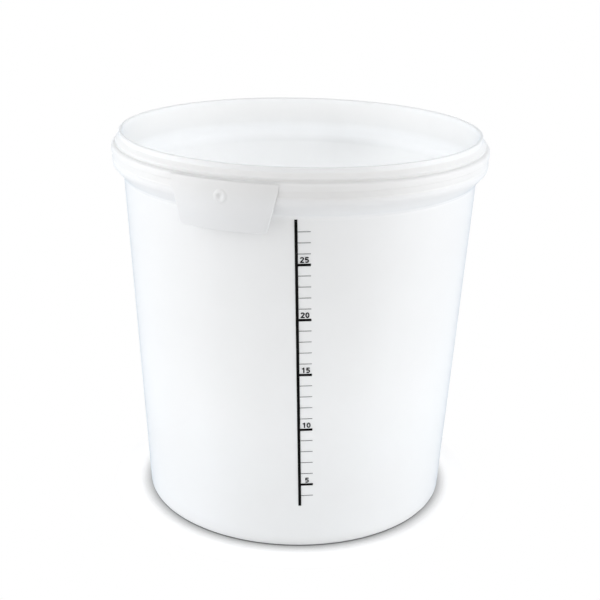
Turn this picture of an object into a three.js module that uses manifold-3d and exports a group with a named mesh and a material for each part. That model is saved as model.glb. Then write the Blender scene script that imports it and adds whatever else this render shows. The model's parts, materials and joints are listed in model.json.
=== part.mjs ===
// Fermenting bucket: a tapered pail with a lid-lock rim, a collar, two bail lugs and a printed litre scale.
// Millimetres, +Z up. The origin is the centre of the standing plane, and the front lug faces -Y.

import * as THREE from 'three';
import { mergeVertices } from 'three/addons/utils/BufferGeometryUtils.js';
import Module from 'manifold-3d';

const wasm = await Module();
wasm.setup();

// Pail body
const HEIGHT = 389;
const BASE_RADIUS = 159;
const WALL_DRAFT = THREE.MathUtils.degToRad(3.3);
const WALL = 2.5;
const FLOOR = 2.9;
const BASE_CORNER = 3.5;
const FLOOR_CORNER = 4;
const FOOT_WIDTH = 6;
const FOOT_SLOPE = 3;
const FOOT_RECESS = 5;
const GATE_RADIUS = 6;
const GATE_DEPTH = 0.6;

// Stacking shoulder, its drop measured down from the top of the lip; the neck above it keeps the wall's draft
const SHOULDER_DROP = 46.5;
const SHOULDER_RISE = 2;
const SHOULDER_STEP = 0.8;

// Lip, snap bead and land, overhangs measured out from the top of the neck
const LIP_OVERHANG = 0.8;
const LIP_HEIGHT = 5;
const LIP_ROUND = 0.9;
const BEAD_OVERHANG = 4.4;
const BEAD_SLOPE = 4;
const BEAD_HEIGHT = 1.6;
const LAND_OVERHANG = 2;
const LAND_HEIGHT = 1.9;

// Collar round the neck
const COLLAR_OVERHANG = 8.2;
const COLLAR_WALL = 2;
const COLLAR_ROUND = 3;
const COLLAR_BAND = 7.5;
const BAND_STEP = 0.5;
const COLLAR_SKIRT = 12;
const SKIRT_WALL = 3.4;
const SKIRT_ROUND = 8;
const COLLAR_CHAMFER = 12;
const COLLAR_TOE = 0.8;
const SEAT_GAP = 0.3;

// Bail lugs, flush with the collar's band
const LUG_TOP_WIDTH = 105.5;
const LUG_BOTTOM_WIDTH = 85.5;
const LUG_HEIGHT = 39.2;
const LUG_WALL = 1.8;
const LUG_CORNER = 4;
const BOSS_RADIUS = 6.6;
const BOSS_HEIGHT = 0.8;
const BOSS_INSET = 1.3;
const PIN_RADIUS = 3.3;

// Printed litre scale
const SCALE_FIRST = 4;
const SCALE_MAJOR_STEP = 5;
const SCALE_ANGLE = THREE.MathUtils.degToRad(22);
const SCALE_LEAN = THREE.MathUtils.degToRad(1.8);
const SPINE_WIDTH = 2.7;
const SPINE_OVERRUN = 11.5;
const MARK_LENGTH = 11.6;
const MAJOR_MARK_HEIGHT = 2.4;
const MINOR_MARK_HEIGHT = 0.5;
const INK_GAP = 0.3;
const INK_WALL = 0.3;

// Facets round a full turn, round a hole and along a small corner
const TURN_SIDES = 72;
const HOLE_SIDES = 16;
const CORNER_STEPS = 3;

const QUARTER = Math.PI / 2;
const CUBIC_MM_PER_LITRE = 1e6;

// Levels and radii that follow from the driving sizes
const draftSlope = Math.tan(WALL_DRAFT);
const floorTop = FOOT_RECESS + FLOOR;
const shoulderFoot = HEIGHT - SHOULDER_DROP;
const shoulderTop = shoulderFoot + SHOULDER_RISE;
const rimRadius = neckRadius(HEIGHT);
const beadTop = HEIGHT - LIP_HEIGHT;
const beadEdge = beadTop - BEAD_SLOPE;
const beadFoot = beadEdge - BEAD_HEIGHT;
const landFoot = beadFoot - LAND_HEIGHT;
const collarRadius = rimRadius + COLLAR_OVERHANG;
const skirtRadius = collarRadius - BAND_STEP;
const bandFoot = landFoot - COLLAR_BAND;
const skirtFoot = bandFoot - COLLAR_SKIRT;
const collarFoot = skirtFoot - COLLAR_CHAMFER;
const lugBore = collarRadius - LUG_WALL;
const pinHeight = bandFoot - BOSS_INSET - BOSS_RADIUS;
const floorRadius = wallRadius(floorTop) - WALL;
const scaleLast = Math.floor(litresBelow(shoulderFoot - SPINE_OVERRUN));
const scaleMiddle = (litreHeight(SCALE_FIRST) + litreHeight(scaleLast)) / 2;

function wallRadius(z) {
  return BASE_RADIUS + draftSlope * z;
}

function neckRadius(z) {
  return wallRadius(z) + SHOULDER_STEP;
}

function collarBore(z) {
  return neckRadius(z) + SEAT_GAP;
}

// Litres that the tapered inside holds when it is filled to this height
function litresBelow(z) {
  const surfaceRadius = wallRadius(z) - WALL;
  return (Math.PI * (surfaceRadius ** 3 - floorRadius ** 3)) / (3 * draftSlope * CUBIC_MM_PER_LITRE);
}

// Height of the liquid when the tapered inside holds this many litres
function litreHeight(litres) {
  const volume = litres * CUBIC_MM_PER_LITRE;
  const surfaceRadius = Math.cbrt(floorRadius ** 3 + (3 * draftSlope * volume) / Math.PI);
  return floorTop + (surfaceRadius - floorRadius) / draftSlope;
}

// Points of a round corner in the radius and height plane
function corner(radius, height, round, from, to) {
  return Array.from({ length: CORNER_STEPS + 1 }, (_, step) => {
    const angle = from + ((to - from) * step) / CORNER_STEPS;
    return [radius + round * Math.cos(angle), height + round * Math.sin(angle)];
  });
}

// A profile of [radius, height] points turned once round the Z axis
function revolve(profile) {
  const points = profile.map(([radius, height]) => new THREE.Vector2(radius, height));
  return new THREE.LatheGeometry(points, TURN_SIDES).rotateX(QUARTER);
}

function revolveRing(profile) {
  return revolve([...profile, profile[0]]);
}

// A closed geometry as a solid that can be cut and joined
function solid(geometry) {
  const bare = geometry.clone();
  bare.deleteAttribute('normal');
  bare.deleteAttribute('uv');
  const merged = mergeVertices(bare);
  const vertProperties = new Float32Array(merged.attributes.position.array);
  const triVerts = new Uint32Array(merged.index.array);
  return new wasm.Manifold(new wasm.Mesh({ numProp: 3, vertProperties, triVerts }));
}

function geometryOf(body) {
  const mesh = body.getMesh();
  const geometry = new THREE.BufferGeometry();
  geometry.setAttribute('position', new THREE.BufferAttribute(mesh.vertProperties, 3));
  geometry.setIndex(new THREE.BufferAttribute(mesh.triVerts, 1));
  geometry.computeVertexNormals();
  return geometry;
}

// Pail: foot ring, floor, tapered wall, stacking shoulder, neck and lid-lock lip in one profile
function shellGeometry() {
  const cornerRadius = wallRadius(BASE_CORNER) - BASE_CORNER;
  const footInner = cornerRadius - FOOT_WIDTH;
  const floorEdge = wallRadius(floorTop + FLOOR_CORNER) - WALL - FLOOR_CORNER;
  const landRadius = rimRadius + LAND_OVERHANG;
  const lipRadius = rimRadius + LIP_OVERHANG;
  const beadRadius = rimRadius + BEAD_OVERHANG;
  const mouthRadius = rimRadius - WALL;
  const roundHeight = HEIGHT - LIP_ROUND;
  return revolve([
    [0, FOOT_RECESS + GATE_DEPTH],
    [GATE_RADIUS, FOOT_RECESS + GATE_DEPTH],
    [GATE_RADIUS, FOOT_RECESS],
    [footInner - FOOT_SLOPE, FOOT_RECESS],
    [footInner, 0],
    ...corner(cornerRadius, BASE_CORNER, BASE_CORNER, -QUARTER, 0),
    [wallRadius(shoulderFoot), shoulderFoot],
    [neckRadius(shoulderTop), shoulderTop],
    [neckRadius(landFoot), landFoot],
    [landRadius, landFoot],
    [landRadius, beadFoot],
    [beadRadius, beadFoot],
    [beadRadius, beadEdge],
    [lipRadius, beadTop],
    ...corner(lipRadius - LIP_ROUND, roundHeight, LIP_ROUND, 0, QUARTER),
    ...corner(mouthRadius + LIP_ROUND, roundHeight, LIP_ROUND, QUARTER, 2 * QUARTER),
    [neckRadius(shoulderTop) - WALL, shoulderTop],
    [wallRadius(shoulderFoot) - WALL, shoulderFoot],
    ...corner(floorEdge, floorTop + FLOOR_CORNER, FLOOR_CORNER, 0, -QUARTER),
    [0, floorTop],
  ]);
}

// Collar: a channel section round the neck with a top ledge, a band, a skirt, a chamfer and a pocket for each lug
function collarSolid() {
  const toe = collarBore(collarFoot) + COLLAR_TOE;
  const innerRadius = skirtRadius - SKIRT_WALL;
  const chamferRun = skirtRadius - toe;
  const chamferTurn = Math.atan2(chamferRun, COLLAR_CHAMFER);
  const chamferWall = COLLAR_WALL / Math.sin(chamferTurn);
  const innerFoot = collarFoot + chamferWall - COLLAR_TOE / Math.tan(chamferTurn);
  const innerSkirtFoot = innerFoot + (innerRadius - collarBore(innerFoot)) / Math.tan(chamferTurn);
  const roundHeight = skirtFoot + SKIRT_ROUND * Math.tan(chamferTurn / 2);
  const ledgeFoot = landFoot - COLLAR_WALL;
  const ring = solid(revolveRing([
    [collarBore(collarFoot), collarFoot],
    [toe, collarFoot],
    ...corner(skirtRadius - SKIRT_ROUND, roundHeight, SKIRT_ROUND, -chamferTurn, 0),
    [skirtRadius, bandFoot],
    [collarRadius, bandFoot],
    ...corner(collarRadius - COLLAR_ROUND, landFoot - COLLAR_ROUND, COLLAR_ROUND, 0, QUARTER),
    [collarBore(landFoot), landFoot],
    [collarBore(ledgeFoot), ledgeFoot],
    [innerRadius, ledgeFoot],
    [innerRadius, innerSkirtFoot],
    [collarBore(innerFoot), innerFoot],
  ]));
  const frontPocket = flapSolid(lugBore - SEAT_GAP, SEAT_GAP);
  const rearPocket = solid(geometryOf(frontPocket).rotateZ(Math.PI));
  return ring.subtract(frontPocket).subtract(rearPocket).subtract(pinHole());
}

// The bail pin holes of both lugs lie on one line through the pail's axis
function pinHole() {
  const length = 2 * (collarRadius + 2 * BOSS_HEIGHT);
  const bar = new THREE.CylinderGeometry(PIN_RADIUS, PIN_RADIUS, length, HOLE_SIDES);
  return solid(bar.translate(0, 0, pinHeight));
}

// Outline of the lug seen from outside: wide at the collar, narrower below, with round lower corners
function lugOutline(margin) {
  const top = bandFoot;
  const foot = bandFoot - LUG_HEIGHT - margin;
  const halfTop = LUG_TOP_WIDTH / 2 + margin;
  const halfFoot = LUG_BOTTOM_WIDTH / 2 + margin;
  const sideStart = halfFoot + ((halfTop - halfFoot) * LUG_CORNER) / LUG_HEIGHT;
  const outline = new THREE.Shape();
  outline.moveTo(-halfTop, top);
  outline.lineTo(-sideStart, foot + LUG_CORNER);
  outline.quadraticCurveTo(-halfFoot, foot, -halfFoot + LUG_CORNER, foot);
  outline.lineTo(halfFoot - LUG_CORNER, foot);
  outline.quadraticCurveTo(halfFoot, foot, sideStart, foot + LUG_CORNER);
  outline.lineTo(halfTop, top);
  return outline;
}

// The lug's outline, with a margin at its sides and foot, cut from a sleeve between a bore and the band
function flapSolid(bore, margin) {
  const foot = bandFoot - LUG_HEIGHT - margin;
  const sleeve = solid(revolveRing([
    [bore, foot],
    [collarRadius, foot],
    [collarRadius, bandFoot],
    [bore, bandFoot],
  ]));
  const options = { depth: 2 * collarRadius, bevelEnabled: false, curveSegments: CORNER_STEPS };
  const prism = new THREE.ExtrudeGeometry(lugOutline(margin), options).rotateX(QUARTER);
  return sleeve.intersect(solid(prism));
}

// Lug: a curved flap that hangs from the collar's band, with a boss round the bail pin hole
function lugSolid() {
  const bossStart = lugBore + LUG_WALL / 2;
  const bossLength = collarRadius + BOSS_HEIGHT - bossStart;
  const boss = new THREE.CylinderGeometry(BOSS_RADIUS, BOSS_RADIUS, bossLength, HOLE_SIDES);
  boss.translate(0, -bossStart - bossLength / 2, pinHeight);
  return flapSolid(lugBore, 0).add(solid(boss)).subtract(pinHole());
}

// Ink lies on a thin sleeve that follows the tapered wall
function inkSleeve() {
  const foot = litreHeight(SCALE_FIRST) - 2 * SPINE_OVERRUN;
  const top = shoulderFoot;
  return solid(revolveRing([
    [wallRadius(foot) + INK_GAP, foot],
    [wallRadius(foot) + INK_GAP + INK_WALL, foot],
    [wallRadius(top) + INK_GAP + INK_WALL, top],
    [wallRadius(top) + INK_GAP, top],
  ]));
}

// A bar of ink cut from the sleeve, placed from the middle of the spine: right, and height on the pail
function inkBar(sleeve, width, height, right, level) {
  const stamp = new THREE.BoxGeometry(width, BASE_RADIUS, height);
  stamp.translate(right, -wallRadius(scaleMiddle), (level - scaleMiddle) / Math.cos(SCALE_LEAN));
  stamp.rotateY(-SCALE_LEAN).translate(0, 0, scaleMiddle).rotateZ(SCALE_ANGLE);
  return sleeve.intersect(solid(stamp));
}

const milkyPlastic = { color: 0xe6e8e4, roughness: 0.42, metalness: 0 };
const blackInk = { color: 0x141414, roughness: 0.6, metalness: 0 };

function piece(name, geometry, look) {
  const mesh = new THREE.Mesh(geometry, new THREE.MeshStandardMaterial(look));
  mesh.name = name;
  return mesh;
}

const bucket = new THREE.Group();
bucket.add(piece('bucket_shell', shellGeometry(), milkyPlastic));
bucket.add(piece('rim_collar', geometryOf(collarSolid()), milkyPlastic));

const lugGeometry = geometryOf(lugSolid());
bucket.add(piece('handle_lug_front', lugGeometry, milkyPlastic));
const rearLug = piece('handle_lug_rear', lugGeometry, milkyPlastic);
rearLug.rotation.z = Math.PI;
bucket.add(rearLug);

// Spine of the scale, then one mark to its right for each whole litre that fits below the shoulder
const sleeve = inkSleeve();
const spineLength = litreHeight(scaleLast) - litreHeight(SCALE_FIRST) + 2 * SPINE_OVERRUN;
const spine = inkBar(sleeve, SPINE_WIDTH, spineLength, 0, scaleMiddle);
bucket.add(piece('scale_spine', geometryOf(spine), blackInk));

for (let litres = SCALE_FIRST; litres <= scaleLast; litres += 1) {
  const isMajor = litres % SCALE_MAJOR_STEP === 0;
  const height = isMajor ? MAJOR_MARK_HEIGHT : MINOR_MARK_HEIGHT;
  const right = SPINE_WIDTH / 2 + INK_GAP + MARK_LENGTH / 2;
  const mark = inkBar(sleeve, MARK_LENGTH, height, right, litreHeight(litres));
  const name = `scale_mark_${String(litres).padStart(2, '0')}_l`;
  bucket.add(piece(name, geometryOf(mark), blackInk));
}

export default bucket;
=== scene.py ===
# %% [markdown]
# # A milky fermenting bucket
#
# The real object is one big polypropylene moulding, cloudy enough to hide what is behind its wall and
# clear enough to glow where light falls on it, with a litre scale printed in black ink. This lesson
# dresses the measured frame of that bucket: each surface is a formula on a grid, worked out with numpy,
# and each finish is a small set of shader nodes.

import json

import bpy
import numpy as np
from mathutils import Matrix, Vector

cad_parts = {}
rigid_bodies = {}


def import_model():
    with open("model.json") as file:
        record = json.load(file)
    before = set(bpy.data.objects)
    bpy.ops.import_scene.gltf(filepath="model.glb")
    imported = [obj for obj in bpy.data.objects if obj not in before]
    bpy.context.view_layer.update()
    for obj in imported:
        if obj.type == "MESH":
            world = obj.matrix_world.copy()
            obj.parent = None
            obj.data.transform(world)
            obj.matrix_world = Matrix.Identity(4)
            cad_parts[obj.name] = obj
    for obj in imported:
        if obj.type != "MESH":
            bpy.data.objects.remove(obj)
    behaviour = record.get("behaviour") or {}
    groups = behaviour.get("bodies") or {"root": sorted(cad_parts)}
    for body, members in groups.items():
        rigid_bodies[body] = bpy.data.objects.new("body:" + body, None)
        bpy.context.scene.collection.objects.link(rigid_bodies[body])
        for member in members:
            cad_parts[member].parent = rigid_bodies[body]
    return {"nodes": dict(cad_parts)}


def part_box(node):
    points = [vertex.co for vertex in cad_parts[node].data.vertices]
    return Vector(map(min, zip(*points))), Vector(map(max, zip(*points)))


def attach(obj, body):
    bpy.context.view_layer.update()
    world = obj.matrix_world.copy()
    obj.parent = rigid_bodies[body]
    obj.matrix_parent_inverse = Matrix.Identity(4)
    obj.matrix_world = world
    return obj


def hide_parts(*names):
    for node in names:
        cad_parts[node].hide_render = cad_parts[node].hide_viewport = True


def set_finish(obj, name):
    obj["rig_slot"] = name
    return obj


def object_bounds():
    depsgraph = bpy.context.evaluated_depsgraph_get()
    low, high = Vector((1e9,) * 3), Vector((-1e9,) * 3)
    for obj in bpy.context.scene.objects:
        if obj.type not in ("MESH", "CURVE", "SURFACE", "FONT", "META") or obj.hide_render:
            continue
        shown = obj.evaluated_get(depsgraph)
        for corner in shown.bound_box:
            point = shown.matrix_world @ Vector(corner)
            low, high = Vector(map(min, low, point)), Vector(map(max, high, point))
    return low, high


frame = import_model()
cad_box = [list(corner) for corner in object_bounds()]
MM = 0.001
RIM_HEIGHT = cad_box[1][2] / MM
print("frame:", len(frame["nodes"]), "nodes, rim at", round(RIM_HEIGHT, 1), "mm")

# %% [markdown]
# ## Where the camera stands
#
# A camera can be aimed by eye, or worked out from the outline in the picture. Here the lens, distance,
# height, tilt and roll came from fitting a plain cone to the bucket's edges, so they are written down as
# numbers. The camera's three axes are built as vectors and put into one matrix, which is easier to follow
# than three Euler angles.

# %% Camera
PICTURE_SIDE = 600
FOCAL_PIXELS = 1141.7
SENSOR_MM = 36.0
CAMERA_AZIMUTH = np.radians(21.5)
CAMERA_DISTANCE = 1148.7
CAMERA_HEIGHT = 608.8
CAMERA_TILT = np.radians(19.43)
CAMERA_TURN = np.radians(0.122)
CAMERA_ROLL = np.radians(1.17)

UP = np.array([0.0, 0.0, 1.0])
toward_camera = np.array([np.sin(CAMERA_AZIMUTH), -np.cos(CAMERA_AZIMUTH), 0.0])
camera_side = np.array([np.cos(CAMERA_AZIMUTH), np.sin(CAMERA_AZIMUTH), 0.0])
level_side = np.cos(CAMERA_TURN) * camera_side + np.sin(CAMERA_TURN) * toward_camera
level_ahead = np.sin(CAMERA_TURN) * camera_side - np.cos(CAMERA_TURN) * toward_camera
ahead = np.cos(CAMERA_TILT) * level_ahead - np.sin(CAMERA_TILT) * UP
upright = np.cross(level_side, ahead)
camera_x = np.cos(CAMERA_ROLL) * level_side + np.sin(CAMERA_ROLL) * upright
camera_y = np.cos(CAMERA_ROLL) * upright - np.sin(CAMERA_ROLL) * level_side
camera_place = (CAMERA_DISTANCE * toward_camera + CAMERA_HEIGHT * UP) * MM

camera_matrix = np.eye(4)
camera_matrix[:3] = np.stack([camera_x, camera_y, -ahead, camera_place], axis=1)
lens = bpy.data.cameras.new("photo_camera")
lens.sensor_fit = "HORIZONTAL"
lens.sensor_width = SENSOR_MM
lens.lens = FOCAL_PIXELS / PICTURE_SIDE * SENSOR_MM
camera = bpy.data.objects.new("photo_camera", lens)
camera.matrix_world = Matrix(camera_matrix.tolist())
scene = bpy.context.scene
scene.collection.objects.link(camera)
scene.camera = camera
scene.view_settings.view_transform = "Standard"
print("camera: lens", round(lens.lens, 1), "mm at", np.round(camera_place, 3))

# %% [markdown]
# ## Sizes of the moulding
#
# The same driving sizes as the measured part, in millimetres. Levels count down from the rim, which comes
# from the frame, and radii count out from the top of the neck, so that a change to one size carries its
# neighbours along. A few sizes are only for the looks: the skirt has a shallow recess under the band, the
# groove under the snap bead is filled a little and the step inside the shoulder is eased, because on the
# real moulding the last two show only as faint lines.

# %% Driving sizes
BASE_RADIUS = 159.0
WALL_DRAFT = np.radians(3.3)
WALL = 2.5
FLOOR_TOP = 7.9
FOOT_RECESS = 5.0
FOOT_WIDTH = 6.0
FOOT_SLOPE = 3.0
BASE_CORNER = 3.5
FLOOR_CORNER = 4.0
GATE_RADIUS = 6.0
GATE_DEPTH = 0.6
SHOULDER_DROP = 46.5
SHOULDER_RISE = 2.0
SHOULDER_STEP = 0.8
SHOULDER_EASE = 3.0
SHOULDER_ROUND = 30.0
LIP_OVERHANG = 0.8
LIP_HEIGHT = 5.0
LIP_ROUND = 1.4
BEAD_OVERHANG = 4.4
BEAD_SLOPE = 4.0
BEAD_HEIGHT = 1.6
LAND_OVERHANG = 2.0
LAND_HEIGHT = 1.9
GROOVE_FILL = 1.5
COLLAR_OVERHANG = 8.2
COLLAR_BAND = 7.5
BAND_STEP = 0.5
COLLAR_SKIRT = 12.0
COLLAR_CHAMFER = 12.0
COLLAR_ROUND = 3.0
RECESS_HEIGHT = 6.5
RECESS_DEPTH = 0.4
RECESS_BLEND = 1.0
SKIRT_ROUND = 8.0


def wall_radius(height):
    """Outer radius of the tapered wall: the base radius plus height times the tangent of the draft."""
    return BASE_RADIUS + np.tan(WALL_DRAFT) * height


def neck_radius(height):
    """Above the shoulder the wall goes on with the same draft, one step further out."""
    return wall_radius(height) + SHOULDER_STEP


shoulder_foot = RIM_HEIGHT - SHOULDER_DROP
shoulder_top = shoulder_foot + SHOULDER_RISE
rim_radius = neck_radius(RIM_HEIGHT)
bead_top = RIM_HEIGHT - LIP_HEIGHT
bead_edge = bead_top - BEAD_SLOPE
bead_foot = bead_edge - BEAD_HEIGHT
land_foot = bead_foot - LAND_HEIGHT
band_foot = land_foot - COLLAR_BAND
skirt_foot = band_foot - COLLAR_SKIRT
collar_foot = skirt_foot - COLLAR_CHAMFER
band_radius = rim_radius + COLLAR_OVERHANG
skirt_radius = band_radius - BAND_STEP
print("rim radius", round(rim_radius, 2), "mm, band radius", round(band_radius, 2), "mm")

# %% [markdown]
# ## Shared tools for surfaces
#
# Mouldings have no sharp corners, and it is the small rounds that catch the light. A Bevel modifier could
# make them, but a profile that already carries its arcs gives exact sizes. Every surface below is a grid
# of points, so one function joins a grid into faces and one puts it into a mesh.

# %% Rounded profiles
TINY = 1e-6


def rounded_profile(corners, rounds, steps=6):
    """A polyline of (radius, height) corners with each corner replaced by an arc.

    At a corner that turns by an angle t, with arc radius f, the arc starts f * tan(t / 2) before the
    corner. Its points are the start plus f * sin(a) along the way in, plus f * (1 - cos(a)) to the side
    it turns to, for a from 0 to t.
    """
    corners = np.asarray(corners, float)
    rounds = np.asarray(rounds, float)
    way_in = corners[1:-1] - corners[:-2]
    way_out = corners[2:] - corners[1:-1]
    way_in /= np.linalg.norm(way_in, axis=1, keepdims=True)
    way_out /= np.linalg.norm(way_out, axis=1, keepdims=True)
    across = way_in[:, 0] * way_out[:, 1] - way_in[:, 1] * way_out[:, 0]
    turn = np.arctan2(across, (way_in * way_out).sum(axis=1))
    side = np.stack([-way_in[:, 1], way_in[:, 0]], axis=1) * np.sign(turn)[:, None]
    start = corners[1:-1] - way_in * (rounds * np.tan(np.abs(turn) / 2))[:, None]
    angle = np.abs(turn)[:, None] * np.linspace(0, 1, steps + 1)
    along = rounds[:, None, None] * np.sin(angle)[..., None] * way_in[:, None]
    aside = rounds[:, None, None] * (1 - np.cos(angle))[..., None] * side[:, None]
    path = (start[:, None] + along + aside).reshape(-1, 2)
    return np.concatenate([corners[:1], path, corners[-1:]])


def held_profile(path, reach=0.5):
    """The same path with a point a short reach inside each end of its long straight runs.

    Smooth shading spreads the bend of a corner over the next face, so a narrow face there keeps the long
    one flat.
    """
    start = path[:-1]
    end = path[1:]
    length = np.linalg.norm(end - start, axis=1)
    step = (end - start) / np.maximum(length, TINY)[:, None] * reach
    points = np.stack([start, start + step, end - step], axis=1)
    long_run = length > 4 * reach
    keep = np.stack([length > TINY, long_run, long_run], axis=1)
    return np.concatenate([points[keep], path[-1:]])


print("profile tools ready")


# %% Grids and meshes
def ring_faces(rows, columns):
    """Quads between rings of points: (i, j), (i, j + 1), (i + 1, j + 1), (i + 1, j), and j closes."""
    below = np.arange(rows - 1)[:, None] * columns
    above = below + columns
    j = np.arange(columns)[None, :]
    right = (j + 1) % columns
    return np.stack([below + j, below + right, above + right, above + j], axis=-1).reshape(-1, 4)


def capped_rings(rings, low_pole, high_pole):
    """Rings closed at both ends: quads between them, and a fan of triangles from each end to its pole."""
    rows, columns = rings.shape[:2]
    points = np.concatenate([rings.reshape(-1, 3), [low_pole, high_pole]])
    first = np.arange(columns)
    following = (first + 1) % columns
    last_ring = (rows - 1) * columns
    pole = np.full(columns, rows * columns)
    low_fan = np.stack([pole, following, first], axis=1)
    high_fan = np.stack([last_ring + first, last_ring + following, pole + 1], axis=1)
    return points, ring_faces(rows, columns).tolist() + low_fan.tolist() + high_fan.tolist()


def add_piece(name, points, faces, slot, nodes):
    """A smooth mesh from points in millimetres, which rides on the frame and stands for the named nodes."""
    mesh = bpy.data.meshes.new(name)
    mesh.from_pydata((points * MM).tolist(), [], faces)
    mesh.shade_smooth()
    mesh.update()
    piece = bpy.data.objects.new(name, mesh)
    scene.collection.objects.link(piece)
    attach(piece, "root")
    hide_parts(*nodes)
    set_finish(piece, slot)
    return piece


print("grid tools ready")

# %% [markdown]
# ## Turned surfaces
#
# The pail and its rim collar are round, so they are a profile carried round the axis. Blender's Spin tool
# or Screw modifier would do, but a grid of radius times cosine and sine is one line of numpy, closes its
# seam by construction, and lets the two poles be single points.

# %% Surface of revolution
TURN_STEPS = 288


def turned_solid(profile):
    """A profile that starts and ends on the axis, carried round it.

    Each point (r, z) at turn angle a goes to (r cos a, r sin a, z), for a round one full turn.
    """
    angle = np.linspace(0, 2 * np.pi, TURN_STEPS, endpoint=False)
    radius = profile[1:-1, :1]
    height = np.broadcast_to(profile[1:-1, 1:], (len(radius), TURN_STEPS))
    rings = np.stack([radius * np.cos(angle), radius * np.sin(angle), height], axis=-1)
    return capped_rings(rings, [0, 0, profile[0, 1]], [0, 0, profile[-1, 1]])


print("turned surfaces have", TURN_STEPS, "steps a turn")

# %% [markdown]
# ## The pail and its rim collar
#
# One profile runs from the middle of the underside out over the foot ring, up the wall to the stacking
# shoulder, round the collar with its skirt and band, over the snap bead and lip, and down the inside to
# the middle of the floor. The measured part keeps the shell and the collar apart, but the rim looks like
# one moulding, and a single skin lets light wander through it: two skins face to face would look dark
# between them. Each corner has the round that a mould would have.

# %% Pail
base_edge = wall_radius(BASE_CORNER) - BASE_CORNER
foot_inner = base_edge - FOOT_WIDTH
mouth_radius = rim_radius - WALL
land_radius = rim_radius + LAND_OVERHANG + GROOVE_FILL
bead_radius = rim_radius + BEAD_OVERHANG
lip_radius = rim_radius + LIP_OVERHANG
recess_radius = skirt_radius - RECESS_DEPTH
recess_foot = band_foot - RECESS_HEIGHT
gate_top = FOOT_RECESS + GATE_DEPTH
floor_radius = wall_radius(FLOOR_TOP) - WALL
inner_top = shoulder_top + SHOULDER_EASE
inner_foot = shoulder_foot - SHOULDER_EASE

# Each row is a corner's radius, its height and its round.
pail_corners = [
    (0, gate_top, 0),
    (GATE_RADIUS, gate_top, 0.2),
    (GATE_RADIUS, FOOT_RECESS, 0.2),
    (foot_inner - FOOT_SLOPE, FOOT_RECESS, 1.5),
    (foot_inner, 0, 1.0),
    (BASE_RADIUS, 0, BASE_CORNER),
    (wall_radius(shoulder_foot), shoulder_foot, 1.0),
    (neck_radius(collar_foot), collar_foot, 1.0),
    (skirt_radius, skirt_foot, SKIRT_ROUND),
    (skirt_radius, recess_foot, 0.6),
    (recess_radius, recess_foot + RECESS_BLEND, 0.6),
    (recess_radius, band_foot, 0.2),
    (band_radius, band_foot, 0.5),
    (band_radius, land_foot, COLLAR_ROUND),
    (land_radius, land_foot, 1.3),
    (land_radius, bead_foot, 0.5),
    (bead_radius, bead_foot, 0.5),
    (bead_radius, bead_edge, 0.9),
    (lip_radius, bead_top, 1.5),
    (lip_radius, RIM_HEIGHT, LIP_ROUND),
    (mouth_radius, RIM_HEIGHT, LIP_ROUND),
    (neck_radius(inner_top) - WALL, inner_top, SHOULDER_ROUND),
    (wall_radius(inner_foot) - WALL, inner_foot, SHOULDER_ROUND),
    (floor_radius, FLOOR_TOP, FLOOR_CORNER),
    (0, FLOOR_TOP, 0),
]
pail_table = np.array(pail_corners, float)
pail_profile = held_profile(rounded_profile(pail_table[:, :2], pail_table[1:-1, 2]))
pail_points, pail_faces = turned_solid(pail_profile)
add_piece("milky_pail", pail_points, pail_faces, "milky_plastic", ["bucket_shell", "rim_collar"])
print("pail:", len(pail_faces), "faces from", len(pail_profile), "profile points")

# %% [markdown]
# ## The bail lugs
#
# A flap hangs from the band on two sides, with a boss and a hole for the hook of a carrying bail. The
# flap is a set of rings: one direction goes round the hole, and the other goes from the middle of the
# hole across the front, over the edge and back across the rear. The hole is a dish, since the skirt
# closes it behind. The top follows the face of the band up to the groove under the snap bead, as in the
# picture, where flap and band look like one smooth face.

# %% Lug outline
LUG_TOP_WIDTH = 105.5
LUG_BOTTOM_WIDTH = 85.5
LUG_HEIGHT = 39.2
LUG_WALL = 1.8
LUG_EDGE = 0.81
LUG_SEAT = 0.02
LUG_PROUD = 0.12
LUG_SINK = 0.35
LUG_FADE = 1.4
LUG_CLEAR = 0.3
LUG_ROOT = 2.6
ROOT_BELOW = 6.0
ROOT_ABOVE = 1.0
LUG_STEPS = 240
EDGE_STEPS = 9
AIM_STEPS = 8001
CORNER_POWER = 30.0
BOSS_RADIUS = 6.6
BOSS_HEIGHT = 0.5
BOSS_SLOPE = 1.2
BOSS_INSET = 1.3
PIN_RADIUS = 3.3
PIN_DEPTH = 0.85
pin_height = band_foot - BOSS_INSET - BOSS_RADIUS
lug_top = land_foot - LUG_CLEAR


def lug_outline():
    """Direction and distance from the pin hole to the flap's edge, at even steps along that edge.

    Along a direction, a straight edge lies at its distance over the cosine to its normal. The nearest of
    the four edges counts, taken as a soft minimum, the p-norm of the inverse distances, so that the
    corners come out round.
    """
    lean = (LUG_TOP_WIDTH - LUG_BOTTOM_WIDTH) / 2 / LUG_HEIGHT
    side = np.array([1.0, -lean]) / np.hypot(1.0, lean)
    half_width = LUG_TOP_WIDTH / 2 - lean * (band_foot - pin_height)
    normals = np.array([side, side * [-1, 1], [0, -1], [0, 1]])
    reaches = np.array([
        half_width * side[0],
        half_width * side[0],
        pin_height - (band_foot - LUG_HEIGHT),
        lug_top - pin_height,
    ])
    angle = np.linspace(0, 2 * np.pi, AIM_STEPS)
    facing = np.stack([np.cos(angle), np.sin(angle)], axis=1) @ normals.T
    distance = ((np.maximum(facing, 0) / reaches) ** CORNER_POWER).sum(axis=1) ** (-1 / CORNER_POWER)
    edge = distance[:, None] * np.stack([np.cos(angle), np.sin(angle)], axis=1)
    travel = np.concatenate([[0], np.cumsum(np.linalg.norm(np.diff(edge, axis=0), axis=1))])
    even = np.interp(np.linspace(0, travel[-1], LUG_STEPS, endpoint=False), travel, angle)
    return even, np.interp(even, angle, distance)


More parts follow.
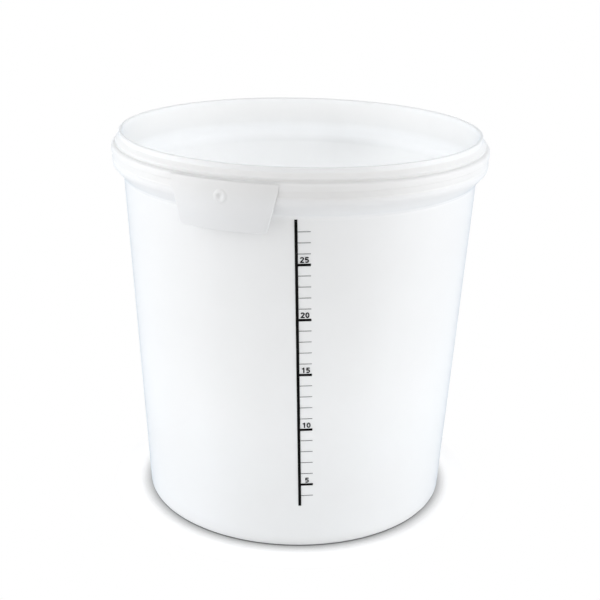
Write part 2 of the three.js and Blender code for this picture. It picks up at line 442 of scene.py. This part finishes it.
lug_angle, lug_reach = lug_outline()
print("flap outline:", LUG_STEPS, "points, farthest", round(lug_reach.max(), 1), "mm from the hole")

# %% Lug surface
FIRST_RING = 0.4
DISH_MARGIN = 0.3
DISH_RINGS = 9
BOSS_MARGIN = 0.1
BOSS_RINGS = 7
EDGE_SHARES = np.array([0.02, 0.06, 0.12, 0.22, 0.35, 0.5, 0.65, 0.8, 0.92, 0.985])
boss_start = BOSS_RADIUS - BOSS_SLOPE
dish_rings = np.linspace(FIRST_RING, PIN_RADIUS + DISH_MARGIN, DISH_RINGS)
boss_rings = np.linspace(boss_start - BOSS_MARGIN, BOSS_RADIUS + BOSS_MARGIN, BOSS_RINGS)
near_rings = np.concatenate([dish_rings, [(PIN_RADIUS + BOSS_RADIUS) / 2], boss_rings])


def smooth_step(low, high, value):
    """0 below low, 1 above high, and the cubic 3t^2 - 2t^3 between them."""
    t = np.clip((value - low) / (high - low), 0, 1)
    return t * t * (3 - 2 * t)


def lug_surface(turn):
    """The flap as rings of points round its pin hole, bent round the band.

    The rings lie at growing distances from the hole's middle, first round the dish and the boss and then
    at the same shares of the way to the edge on all sides; half an oval carries them over the edge, and
    the same distances lead back behind. The radius is the band's, less c - sqrt(c^2 - h^2) at a height h
    within the round c of its upper edge, plus the boss, less the dish d (1 - r^2 / R^2) of depth d and
    radius R at a distance r from its middle. The back sinks into the band at the top, lies on the skirt
    where the flap grows out of it, and hangs free below.
    """
    outer = lug_reach[None] - LUG_EDGE
    around = np.broadcast_to(near_rings[:, None], (len(near_rings), LUG_STEPS))
    flat = np.concatenate([around, near_rings[-1] + EDGE_SHARES[:, None] * (outer - near_rings[-1])])
    sweep = np.linspace(0, np.pi, EDGE_STEPS)[:, None]
    middle = np.zeros((1, LUG_STEPS))
    distance = np.concatenate([middle, flat, outer + LUG_EDGE * np.sin(sweep), flat[::-1], middle])
    side = np.ones((len(flat) + 1, 1))
    face = np.concatenate([side, np.cos(sweep), -side])
    across = -distance * np.cos(lug_angle)
    height = pin_height + distance * np.sin(lug_angle)
    boss = BOSS_HEIGHT * (1 - smooth_step(boss_start, BOSS_RADIUS, distance))
    boss -= PIN_DEPTH * np.clip(1 - (distance / PIN_RADIUS) ** 2, 0, 1)
    fade = smooth_step(lug_top - LUG_FADE, lug_top, height)
    root = smooth_step(skirt_foot - ROOT_BELOW, skirt_foot + ROOT_ABOVE, height)
    into_round = np.clip(height - (land_foot - COLLAR_ROUND), 0, COLLAR_ROUND)
    band_face = band_radius - COLLAR_ROUND + np.sqrt(COLLAR_ROUND**2 - into_round**2)
    front_radius = band_face + LUG_PROUD * (1 - fade) - LUG_SINK * fade + boss
    back_radius = band_radius - LUG_WALL + (skirt_radius + LUG_SEAT - band_radius + LUG_WALL) * root
    back_radius -= LUG_ROOT * smooth_step(band_foot, land_foot - COLLAR_ROUND / 2, height)
    radius = (front_radius + back_radius) / 2 + face * (front_radius - back_radius) / 2
    bend = turn + across / band_radius
    points = np.stack([radius * np.sin(bend), -radius * np.cos(bend), height], axis=-1)
    return capped_rings(points[1:-1], points[0, 0], points[-1, 0])


LUG_TURNS = {"handle_lug_front": 0.0, "handle_lug_rear": np.pi}
for lug_node, lug_turn in LUG_TURNS.items():
    lug_points, lug_faces = lug_surface(lug_turn)
    lug_name = lug_node.replace("handle_lug", "bail_flap")
    add_piece(lug_name, lug_points, lug_faces, "milky_plastic", [lug_node])
    print(lug_name, "has", len(lug_faces), "faces")

# %% [markdown]
# ## Print on a cone
#
# The scale is screen-printed ink: an upright line, a thin mark for each litre, thick marks and numbers at
# each fifth litre. An image could hold it, but ink as thin solids stays crisp at any distance. Each bar
# and number is drawn flat, turned by the small lean of the print, and wrapped on the tapered wall.

# %% Wrapping flat print on the wall
SCALE_ANGLE = np.radians(22.0)
SCALE_LEAN = np.radians(1.8)
INK_LIFT = 0.03
INK_WALL = 0.09
spine_low, spine_high = (np.array(corner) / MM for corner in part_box("scale_spine"))
scale_middle = (spine_low[2] + spine_high[2]) / 2


def printed(flat):
    """Wrap flat print (right, up, thickness) on the wall.

    Right and up count from the middle of the spine. They turn by the lean; then the point goes out to the
    wall's radius at its height plus its thickness, at the chord x = right, and round the axis by the
    angle of the scale.
    """
    right = flat[:, 0] * np.cos(SCALE_LEAN) - flat[:, 1] * np.sin(SCALE_LEAN)
    up = scale_middle + flat[:, 0] * np.sin(SCALE_LEAN) + flat[:, 1] * np.cos(SCALE_LEAN)
    out = np.sqrt((wall_radius(up) + INK_LIFT + flat[:, 2]) ** 2 - right**2)
    x = right * np.cos(SCALE_ANGLE) + out * np.sin(SCALE_ANGLE)
    y = right * np.sin(SCALE_ANGLE) - out * np.cos(SCALE_ANGLE)
    return np.stack([x, y, up], axis=1)


print("scale middle at", round(scale_middle, 1), "mm")

# %% Ribbon of ink and the spine
SPINE_WIDTH = 2.8
MARK_LENGTH = 11.6
MAJOR_MARK_HEIGHT = 2.4
MINOR_MARK_HEIGHT = 0.5
NUMBER_EVERY = 5
BAR_STEPS = 12


def ink_ribbon(path, width):
    """A flat band of ink along a path of (right, up) points, as a section of four corners carried along it.

    The direction at a point is the mean of the steps before and after it. Both edges lie half a width
    aside from the path, divided by the cosine of half the bend so that the band keeps its width round
    corners.
    """
    path = np.asarray(path, float)
    ahead = np.roll(path, -1, axis=0) - path
    behind = path - np.roll(path, 1, axis=0)
    ahead[-1] = behind[-1]
    behind[0] = ahead[0]
    ahead /= np.linalg.norm(ahead, axis=1, keepdims=True)
    behind /= np.linalg.norm(behind, axis=1, keepdims=True)
    middle = ahead + behind
    middle /= np.linalg.norm(middle, axis=1, keepdims=True)
    reach = width / 2 / (middle * ahead).sum(axis=1)
    aside = np.stack([-middle[:, 1], middle[:, 0]], axis=1) * reach[:, None]
    section = np.stack([path - aside, path + aside, path + aside, path - aside], axis=1)
    depth = np.broadcast_to(np.array([0, 0, INK_WALL, INK_WALL])[None, :, None], (len(path), 4, 1))
    flat = np.concatenate([section, depth], axis=2).reshape(-1, 3)
    last = len(flat) - 4
    ends = np.array([[3, 2, 1, 0], [last, last + 1, last + 2, last + 3]])
    return flat, np.concatenate([ring_faces(len(path), 4), ends])


def straight(start, end):
    """Evenly spaced points on the line from start to end, so that a long bar can bend with the wall."""
    return np.linspace(start, end, BAR_STEPS)


spine_half = (spine_high[2] - spine_low[2]) / 2 / np.cos(SCALE_LEAN)
spine_flat, spine_faces = ink_ribbon(straight((0, -spine_half), (0, spine_half)), SPINE_WIDTH)
add_piece("ink_spine", printed(spine_flat), spine_faces.tolist(), "black_ink", ["scale_spine"])
print("spine:", round(2 * spine_half, 1), "mm long")

# %% Litre marks
MARK_START = SPINE_WIDTH / 2
MARK_END = MARK_START + MARK_LENGTH
MARK_MIDDLE = (MARK_START + MARK_END) / 2
mark_nodes = sorted(node for node in frame["nodes"] if node.startswith("scale_mark_"))


def mark_level(node):
    """Level of a litre mark along the spine, from the middle of its measured box."""
    low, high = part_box(node)
    height = (low[2] + high[2]) / 2 / MM
    return (height - scale_middle) / np.cos(SCALE_LEAN) - MARK_MIDDLE * np.tan(SCALE_LEAN)


levels = {int(node.split("_")[2]): mark_level(node) for node in mark_nodes}
for litres, level in levels.items():
    mark_height = MINOR_MARK_HEIGHT if litres % NUMBER_EVERY else MAJOR_MARK_HEIGHT
    mark_flat, mark_faces = ink_ribbon(straight((MARK_START, level), (MARK_END, level)), mark_height)
    mark_tag = f"mark_{litres:02d}_l"
    mark_points = printed(mark_flat)
    add_piece(f"ink_{mark_tag}", mark_points, mark_faces.tolist(), "black_ink", [f"scale_{mark_tag}"])
print("scale:", len(levels), "litre marks")

# %% [markdown]
# ## Numbers
#
# Blender has a text object, but its built-in face is thinner than the heavy plain type on the bucket.
# Only four digits are needed, so each is drawn as pen strokes: straight runs and arcs of ellipses, with
# the same ribbon of ink as the marks.

# %% Strokes of the digits
NUMBER_HEIGHT = 5.6
NUMBER_RISE = 0.8
DIGIT_HALF_WIDTH = 0.34
DIGIT_PITCH = 0.78
PEN = 0.21
ARC_STEPS = 24


def arc(middle, across, high, start, end):
    """Points on an ellipse, middle + (across cos a, high sin a), for a from start to end in degrees."""
    angle = np.radians(np.linspace(start, end, ARC_STEPS))
    return np.stack([middle[0] + across * np.cos(angle), middle[1] + high * np.sin(angle)], axis=1)


# Strokes are in shares of the number's height: 0 is the foot of the line and 1 is its top.
foot = PEN / 2
head = 1 - PEN / 2
side = DIGIT_HALF_WIDTH - PEN / 2
two_turn = arc((0, 0.71), side, head - 0.71, 175, -35)
two_base = [(-DIGIT_HALF_WIDTH, foot), (DIGIT_HALF_WIDTH, foot)]
five_bowl = arc((-0.01, 0.34), side, 0.34 - foot, 145, -150)
DIGITS = {
    "0": [arc((0, 0.5), side, head - 0.5, 0, 360)],
    "1": [[(0.08, 0), (0.08, 1)], [(-0.2, 0.74), (0.06, 0.86)]],
    "2": [np.concatenate([two_turn, [(-side, foot)]]), two_base],
    "5": [five_bowl, [(-0.21, 0.45), (-0.15, 1)], [(-0.17, head), (0.29, head)]],
}
print("digits drawn:", ", ".join(DIGITS))


# %% Place the numbers
def number_print(text, middle, level):
    """All strokes of a number, side by side and centred on a point, as one set of points and faces."""
    points = []
    faces = []
    for place, digit in enumerate(text):
        right = (place - (len(text) - 1) / 2) * DIGIT_PITCH
        for stroke in DIGITS[digit]:
            path = (np.asarray(stroke) + [right, 0]) * NUMBER_HEIGHT + [middle, level]
            flat, stroke_faces = ink_ribbon(path, PEN * NUMBER_HEIGHT)
            faces += (stroke_faces + sum(map(len, points))).tolist()
            points.append(flat)
    return np.concatenate(points), faces


for litres in range(NUMBER_EVERY, max(levels) + 1, NUMBER_EVERY):
    number_level = levels[litres] + MAJOR_MARK_HEIGHT / 2 + NUMBER_RISE
    number_flat, number_faces = number_print(str(litres), MARK_MIDDLE, number_level)
    number = add_piece(f"ink_number_{litres:02d}", printed(number_flat), number_faces, "black_ink", [])
    number.data.shade_flat()
print("numbers placed at each fifth litre")

# %% [markdown]
# ## Shared shader group
#
# Moulded plastic and printed ink both have a fine grain and soft clouds in their colour. The group below
# makes both from two noise textures on Object coordinates, and each material gives it its own colour and
# scales.

# %% Cloud and grain group
NOISE_LOW = 0.3
NOISE_HIGH = 0.7


def new_node(tree, kind, **settings):
    """A new node of a kind, with the given settings."""
    node = tree.nodes.new(kind)
    for name, value in settings.items():
        setattr(node, name, value)
    return node


def skin_group():
    """Colour, roughness and height over a surface.

    Wide noise scales the colour between 1 and the cloud level, and fine noise sets roughness and height.
    """
    group = bpy.data.node_groups.new("cloud_and_grain", "ShaderNodeTree")
    for name, kind in (
        ("Colour", "NodeSocketColor"),
        ("Cloud Level", "NodeSocketFloat"),
        ("Cloud Scale", "NodeSocketFloat"),
        ("Grain Scale", "NodeSocketFloat"),
        ("Rough Low", "NodeSocketFloat"),
        ("Rough High", "NodeSocketFloat"),
    ):
        group.interface.new_socket(name, in_out="INPUT", socket_type=kind)
    for name, kind in (
        ("Colour", "NodeSocketColor"),
        ("Roughness", "NodeSocketFloat"),
        ("Height", "NodeSocketFloat"),
    ):
        group.interface.new_socket(name, in_out="OUTPUT", socket_type=kind)
    given = new_node(group, "NodeGroupInput")
    result = new_node(group, "NodeGroupOutput")
    place = new_node(group, "ShaderNodeTexCoord")
    cloud = new_node(group, "ShaderNodeTexNoise")
    cloud.inputs["Detail"].default_value = 3.0
    grain = new_node(group, "ShaderNodeTexNoise")
    grain.inputs["Detail"].default_value = 5.0
    grain.inputs["Roughness"].default_value = 0.6
    level = new_node(group, "ShaderNodeMapRange")
    level.inputs["To Min"].default_value = 1.0
    shaded = new_node(group, "ShaderNodeVectorMath", operation="SCALE")
    rough = new_node(group, "ShaderNodeMapRange")
    for spread in (level, rough):
        spread.inputs["From Min"].default_value = NOISE_LOW
        spread.inputs["From Max"].default_value = NOISE_HIGH
    link = group.links.new
    link(place.outputs["Object"], cloud.inputs["Vector"])
    link(place.outputs["Object"], grain.inputs["Vector"])
    link(given.outputs["Cloud Scale"], cloud.inputs["Scale"])
    link(given.outputs["Grain Scale"], grain.inputs["Scale"])
    link(cloud.outputs["Fac"], level.inputs["Value"])
    link(given.outputs["Cloud Level"], level.inputs["To Max"])
    link(given.outputs["Colour"], shaded.inputs["Vector"])
    link(level.outputs["Result"], shaded.inputs["Scale"])
    link(grain.outputs["Fac"], rough.inputs["Value"])
    link(given.outputs["Rough Low"], rough.inputs["To Min"])
    link(given.outputs["Rough High"], rough.inputs["To Max"])
    link(shaded.outputs["Vector"], result.inputs["Colour"])
    link(rough.outputs["Result"], result.inputs["Roughness"])
    link(grain.outputs["Fac"], result.inputs["Height"])
    return group


cloud_and_grain = skin_group()
print("group:", cloud_and_grain.name)

# %% [markdown]
# ## Milky plastic
#
# Natural polypropylene lets light wander inside it, which is what subsurface scattering models: with a
# walk about twice as long as the wall is thick, the light inside the bucket shows through. The flaps are
# thinner, so their walk is shorter: a long walk would lose its light in the root of the flap. A colour
# ramp over the height paints light into the plastic. The foot is whiter as painted light from the floor,
# the chamfer under the collar is whiter as painted light over its shade, and the lip is whiter as painted
# light too. On the flaps the ramp paints light towards their lower edge. A thin tinted coat, weaker on the
# rim, greys the wall where it is seen from the side, as a cloudy wall does there.


# %% Materials on the shared group
def skin_material(name, values, bump_strength, bump_distance):
    """A Principled material with colour, roughness and bump from the shared group, and the group's node."""
    material = bpy.data.materials.new(name)
    material.use_nodes = True
    tree = material.node_tree
    shader = tree.nodes["Principled BSDF"]
    skin = new_node(tree, "ShaderNodeGroup", node_tree=cloud_and_grain)
    for key, value in values.items():
        skin.inputs[key].default_value = value
    bump = new_node(tree, "ShaderNodeBump")
    bump.inputs["Strength"].default_value = bump_strength
    bump.inputs["Distance"].default_value = bump_distance
    tree.links.new(skin.outputs["Colour"], shader.inputs["Base Color"])
    tree.links.new(skin.outputs["Roughness"], shader.inputs["Roughness"])
    tree.links.new(skin.outputs["Height"], bump.inputs["Height"])
    tree.links.new(bump.outputs["Normal"], shader.inputs["Normal"])
    return material, skin


print("material tool ready")

# %% Milky plastic
PLASTIC_TINT = np.array([1.009, 1.0, 0.988])
COAT_TINT = (0.97, 0.976, 0.982, 1)
WALL_COAT = 1.0
RIM_COAT = 0.6
COAT_BELOW = 3.0
COAT_ABOVE = 6.0


def milky_plastic(name, walk, tones):
    """Cloudy plastic in which light wanders for about the given walk, in metres, before it leaves again.

    The tones are pairs of height and whiteness from the foot to the rim, and a colour ramp blends them
    smoothly. A ramp runs from 0 to 1, which here are metres of height.
    """
    values = {
        "Cloud Level": 0.967,
        "Cloud Scale": 9.0,
        "Grain Scale": 900.0,
        "Rough Low": 0.36,
        "Rough High": 0.5,
    }
    material, skin = skin_material(name, values, bump_strength=0.12, bump_distance=0.0002)
    tree = material.node_tree
    place = new_node(tree, "ShaderNodeTexCoord")
    height = new_node(tree, "ShaderNodeSeparateXYZ")
    ramp = new_node(tree, "ShaderNodeValToRGB")
    ramp.color_ramp.interpolation = "EASE"
    stops = ramp.color_ramp.elements
    while len(stops) < len(tones):
        stops.new(1.0)
    for stop, (level, whiteness) in zip(stops, tones):
        stop.position = level * MM
        stop.color = (*(whiteness * PLASTIC_TINT), 1)
    tree.links.new(place.outputs["Object"], height.inputs["Vector"])
    tree.links.new(height.outputs["Z"], ramp.inputs["Fac"])
    tree.links.new(ramp.outputs["Color"], skin.inputs["Colour"])
    coat = new_node(tree, "ShaderNodeMapRange")
    coat.inputs["From Min"].default_value = (collar_foot - COAT_BELOW) * MM
    coat.inputs["From Max"].default_value = (collar_foot + COAT_ABOVE) * MM
    coat.inputs["To Min"].default_value = WALL_COAT
    coat.inputs["To Max"].default_value = RIM_COAT
    shader = tree.nodes["Principled BSDF"]
    tree.links.new(height.outputs["Z"], coat.inputs["Value"])
    tree.links.new(coat.outputs["Result"], shader.inputs["Coat Weight"])
    shader.inputs["IOR"].default_value = 1.49
    shader.inputs["Specular IOR Level"].default_value = 0.4
    shader.inputs["Subsurface Weight"].default_value = 1.0
    shader.inputs["Subsurface Radius"].default_value = (1.0, 1.0, 1.0)
    shader.inputs["Subsurface Scale"].default_value = walk
    shader.inputs["Coat Roughness"].default_value = 0.4
    shader.inputs["Coat IOR"].default_value = 1.002
    shader.inputs["Coat Tint"].default_value = COAT_TINT
    return material


PAIL_WALK = 0.005
FLAP_WALK = 0.0005
# Tones whiter than the wall are painted light: light from the floor on the foot, light over the shade of
# the chamfer under the collar, and light on the lip.
WALL_WHITE = 0.885
FOOT_PAINTED_LIGHT = 0.935
PLAIN_WHITE = 0.915
CHAMFER_PAINTED_LIGHT = 0.99
LIP_PAINTED_LIGHT = 0.95
# The flap's whiter lower part is painted light over the shade of the hanging flap.
FLAP_PAINTED_LIGHT = 0.975
FOOT_TONE_TOP = 90.0
WALL_TONE_FOOT = 215.0
NECK_BLEND = 6.0
CHAMFER_BLEND = 3.0
SKIRT_BLEND = 5.0
LIP_BLEND = 1.0
# The pail's height ramp paints light: it is whiter at the foot, on the chamfer under the collar and on the
# lip.
pail_painted_light_tones = [
    (FOOT_TONE_TOP, FOOT_PAINTED_LIGHT),
    (WALL_TONE_FOOT, WALL_WHITE),
    (collar_foot - NECK_BLEND, WALL_WHITE),
    (collar_foot + CHAMFER_BLEND, CHAMFER_PAINTED_LIGHT),
    (skirt_foot, CHAMFER_PAINTED_LIGHT),
    (skirt_foot + SKIRT_BLEND, PLAIN_WHITE),
    (bead_top, PLAIN_WHITE),
    (bead_top + LIP_BLEND, LIP_PAINTED_LIGHT),
]
# The flap's ramp paints light: it is whiter towards the flap's lower edge.
flap_painted_light_tones = [(lug_top - LUG_HEIGHT, FLAP_PAINTED_LIGHT), (lug_top, PLAIN_WHITE)]
milky = milky_plastic("milky_plastic", PAIL_WALK, pail_painted_light_tones)
milky_flap = milky_plastic("milky_flap_plastic", FLAP_WALK, flap_painted_light_tones)
print("plastics:", milky.name, "and", milky_flap.name)

# %% [markdown]
# ## Black ink, and a finish for each piece
#
# The ink is an opaque matt film with very little gloss, so it takes the plain Principled shader with the
# shared group. Each piece then finds its finish by the start of its name.

# %% Ink and finishes
ink, _ = skin_material(
    "black_ink",
    {
        "Colour": (0.003, 0.0028, 0.0028, 1),
        "Cloud Level": 1.8,
        "Cloud Scale": 60.0,
        "Grain Scale": 1500.0,
        "Rough Low": 0.45,
        "Rough High": 0.62,
    },
    bump_strength=0.2,
    bump_distance=0.0001,
)
ink_shader = ink.node_tree.nodes["Principled BSDF"]
ink_shader.inputs["Specular IOR Level"].default_value = 0.04
finishes = {"milky_pail": milky, "bail_flap": milky_flap, "ink": ink}
dressed = [piece for piece in scene.objects if "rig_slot" in piece]
for piece in dressed:
    finish = next(start for start in finishes if piece.name.startswith(start))
    piece.data.materials.append(finishes[finish])
print("dressed", len(dressed), "pieces")

# %% [markdown]
# ## White floor
#
# The picture is a studio shot in a bright white sweep. Where the camera, a reflection or a clear surface
# looks at the far floor, it is plain white. Near the foot it is a matt surface that keeps the bucket's
# shadow, and an Ambient Occlusion node deepens that shadow close to the foot. The rays that carry light
# meet a white matt floor everywhere, which throws light up on the wall.


# %% Rays that see plain white
def seen_directly(tree):
    """1 for rays from the camera, from gloss and from clear surfaces, and 0 for those that carry light."""
    ray = new_node(tree, "ShaderNodeLightPath")
    seen_or_glossy = new_node(tree, "ShaderNodeMath", operation="MAXIMUM")
    seen = new_node(tree, "ShaderNodeMath", operation="MAXIMUM")
    tree.links.new(ray.outputs["Is Camera Ray"], seen_or_glossy.inputs[0])
    tree.links.new(ray.outputs["Is Glossy Ray"], seen_or_glossy.inputs[1])
    tree.links.new(seen_or_glossy.outputs["Value"], seen.inputs[0])
    tree.links.new(ray.outputs["Is Transmission Ray"], seen.inputs[1])
    return seen.outputs["Value"]


print("ray tool ready")

# %% Floor
FLOOR_HALF = 6.0
FLOOR_LIFT = -0.0002
SHADOW_REACH = 0.178
SHADOW_END = 0.2
CONTACT_REACH = 0.014
FLOOR_ALBEDO = 0.9
FLOOR_SEEN = 1.2
floor_mesh = bpy.data.meshes.new("floor")
floor_corners = np.array([(-1, -1, 0), (1, -1, 0), (1, 1, 0), (-1, 1, 0)])
floor_points = floor_corners * FLOOR_HALF + [0, 0, FLOOR_LIFT]
floor_mesh.from_pydata(floor_points.tolist(), [], [[0, 1, 2, 3]])
floor = bpy.data.objects.new("floor", floor_mesh)
scene.collection.objects.link(floor)

floor_paint = bpy.data.materials.new("white_floor")
floor_paint.use_nodes = True
floor_tree = floor_paint.node_tree
floor_tree.nodes.clear()
floor_place = new_node(floor_tree, "ShaderNodeTexCoord")
floor_distance = new_node(floor_tree, "ShaderNodeVectorMath", operation="LENGTH")
floor_far = new_node(floor_tree, "ShaderNodeMapRange", interpolation_type="SMOOTHSTEP")
floor_far.inputs["From Min"].default_value = SHADOW_REACH
floor_far.inputs["From Max"].default_value = SHADOW_END
floor_white = new_node(floor_tree, "ShaderNodeMath", operation="MULTIPLY")
floor_contact = new_node(floor_tree, "ShaderNodeAmbientOcclusion", samples=16)
floor_contact.inputs["Distance"].default_value = CONTACT_REACH
floor_bright = new_node(floor_tree, "ShaderNodeMath", operation="MULTIPLY")
floor_bright.inputs[1].default_value = FLOOR_SEEN
floor_colour = new_node(floor_tree, "ShaderNodeMapRange")
floor_colour.inputs["To Min"].default_value = FLOOR_ALBEDO
floor_diffuse = new_node(floor_tree, "ShaderNodeBsdfDiffuse")
floor_glow = new_node(floor_tree, "ShaderNodeEmission")
floor_mix = new_node(floor_tree, "ShaderNodeMixShader")
floor_out = new_node(floor_tree, "ShaderNodeOutputMaterial")
floor_tree.links.new(floor_place.outputs["Object"], floor_distance.inputs[0])
floor_tree.links.new(floor_distance.outputs["Value"], floor_far.inputs["Value"])
floor_tree.links.new(floor_far.outputs["Result"], floor_white.inputs[0])
floor_seen = seen_directly(floor_tree)
floor_tree.links.new(floor_seen, floor_white.inputs[1])
floor_tree.links.new(floor_seen, floor_colour.inputs["Value"])
floor_tree.links.new(floor_contact.outputs["AO"], floor_bright.inputs[0])
floor_tree.links.new(floor_bright.outputs["Value"], floor_colour.inputs["To Max"])
floor_tree.links.new(floor_colour.outputs["Result"], floor_diffuse.inputs["Color"])
floor_tree.links.new(floor_white.outputs["Value"], floor_mix.inputs["Fac"])
floor_tree.links.new(floor_diffuse.outputs["BSDF"], floor_mix.inputs[1])
floor_tree.links.new(floor_glow.outputs["Emission"], floor_mix.inputs[2])
floor_tree.links.new(floor_mix.outputs["Shader"], floor_out.inputs["Surface"])
floor_mesh.materials.append(floor_paint)
print("floor:", 2 * FLOOR_HALF, "m square, shadows kept to", SHADOW_REACH, "m")

# %% [markdown]
# ## Light from all round
#
# One strength for the whole background would light all sides alike. Here the dot product of a ray's way
# with the camera's way makes the soft light a little stronger before the bucket than behind it. Seen
# directly, the background is plain white at strength 1.

# %% World
WORLD_BEFORE = 0.68
WORLD_BEHIND = 0.56
world = bpy.data.worlds.new("studio")
world.use_nodes = True
scene.world = world
world_tree = world.node_tree
world_light = world_tree.nodes["Background"]
world_light.inputs["Color"].default_value = (1, 1, 1, 1)
world_way = new_node(world_tree, "ShaderNodeTexCoord")
world_depth = new_node(world_tree, "ShaderNodeVectorMath", operation="DOT_PRODUCT")
world_depth.inputs[1].default_value = (-toward_camera).tolist()
world_lamp = new_node(world_tree, "ShaderNodeMapRange")
world_lamp.inputs["From Min"].default_value = -1.0
world_lamp.inputs["From Max"].default_value = 1.0
world_lamp.inputs["To Min"].default_value = WORLD_BEFORE
world_lamp.inputs["To Max"].default_value = WORLD_BEHIND
world_strength = new_node(world_tree, "ShaderNodeMapRange")
world_strength.inputs["To Max"].default_value = 1.0
world_tree.links.new(world_way.outputs["Generated"], world_depth.inputs[0])
world_tree.links.new(world_depth.outputs["Value"], world_lamp.inputs["Value"])
world_tree.links.new(seen_directly(world_tree), world_strength.inputs["Value"])
world_tree.links.new(world_lamp.outputs["Result"], world_strength.inputs["To Min"])
world_tree.links.new(world_strength.outputs["Result"], world_light.inputs["Strength"])
print("world: strength", WORLD_BEFORE, "before the bucket and", WORLD_BEHIND, "behind it")

# %% [markdown]
# ## Lamps
#
# Two large lamps at the sides leave the middle of the wall a little darker. The renderer treats a cloudy
# wall as opaque after the first pass through it, so a faint lamp inside the bucket stands in for the
# light that the walls let in.

# %% Lamps
INNER_POWER = 0.54
INNER_TINT = (0.925, 0.965, 1.0)
INNER_RADIUS = 0.08
INNER_HEIGHT = 0.18
# Each side lamp has its way, -1 for left and 1 for right, and its power.
SIDE_LAMPS = {"left_lamp": (-1.0, 11.4), "right_lamp": (1.0, 10.8)}
SIDE_TINT = (0.962, 0.976, 1.0)
SIDE_SIZE = 1.2
SIDE_REACH = 1.5
SIDE_LEAD = 0.3
SIDE_HEIGHT = 0.5
AIM_HEIGHT = 0.22


def add_side_lamp(name, way, power):
    """A square area lamp on the camera's left (-1) or right (1) of the bucket, turned towards it."""
    lamp = bpy.data.lights.new(name, "AREA")
    lamp.size = SIDE_SIZE
    lamp.energy = power
    lamp.color = SIDE_TINT
    holder = bpy.data.objects.new(name, lamp)
    place = way * SIDE_REACH * camera_side + SIDE_LEAD * toward_camera + SIDE_HEIGHT * UP
    outward = place - AIM_HEIGHT * UP
    outward = outward / np.linalg.norm(outward)
    across = np.cross(UP, outward)
    across = across / np.linalg.norm(across)
    matrix = np.eye(4)
    matrix[:3] = np.stack([across, np.cross(outward, across), outward, place], axis=1)
    holder.matrix_world = Matrix(matrix.tolist())
    scene.collection.objects.link(holder)


inner_light = bpy.data.lights.new("inner_lamp", "POINT")
inner_light.energy = INNER_POWER
inner_light.shadow_soft_size = INNER_RADIUS
inner_light.color = INNER_TINT
inner_lamp = bpy.data.objects.new("inner_lamp", inner_light)
inner_lamp.location = (0, 0, INNER_HEIGHT)
inner_lamp.visible_camera = False
scene.collection.objects.link(inner_lamp)
for side_name, (side_way, side_power) in SIDE_LAMPS.items():
    add_side_lamp(side_name, side_way, side_power)
print("lamps: two at the sides, one inside")
